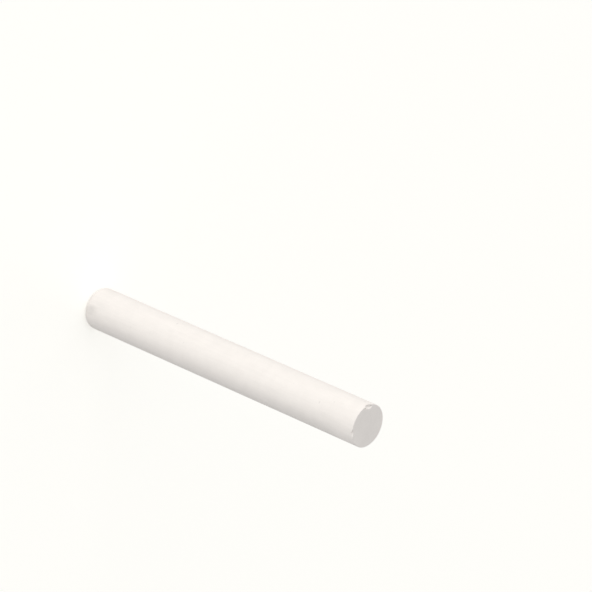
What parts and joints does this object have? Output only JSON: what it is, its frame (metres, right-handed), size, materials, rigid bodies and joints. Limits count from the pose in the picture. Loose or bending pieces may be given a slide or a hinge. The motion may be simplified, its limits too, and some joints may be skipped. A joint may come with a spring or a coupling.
{
  "type": "chalk stick",
  "caption": "White moulded chalk stick, slightly tapered, with a rounded small end that it stands on and a flat struck end with a chipped rim.",
  "frame": {"origin": "middle of the foot, which is the flat of the rounded, smaller end", "axes": "+Z along the stick's axis, from the foot to the struck face; the rim's large chip lies at 209 degrees counterclockwise from +X, seen from above"},
  "size_m": [0.0098, 0.0098, 0.08],
  "materials": {
    "chalk": "matte, powdery"
  },
  "bodies": {
    "root": {"chalk_stick": "chalk"}
  },
  "joints": []
}
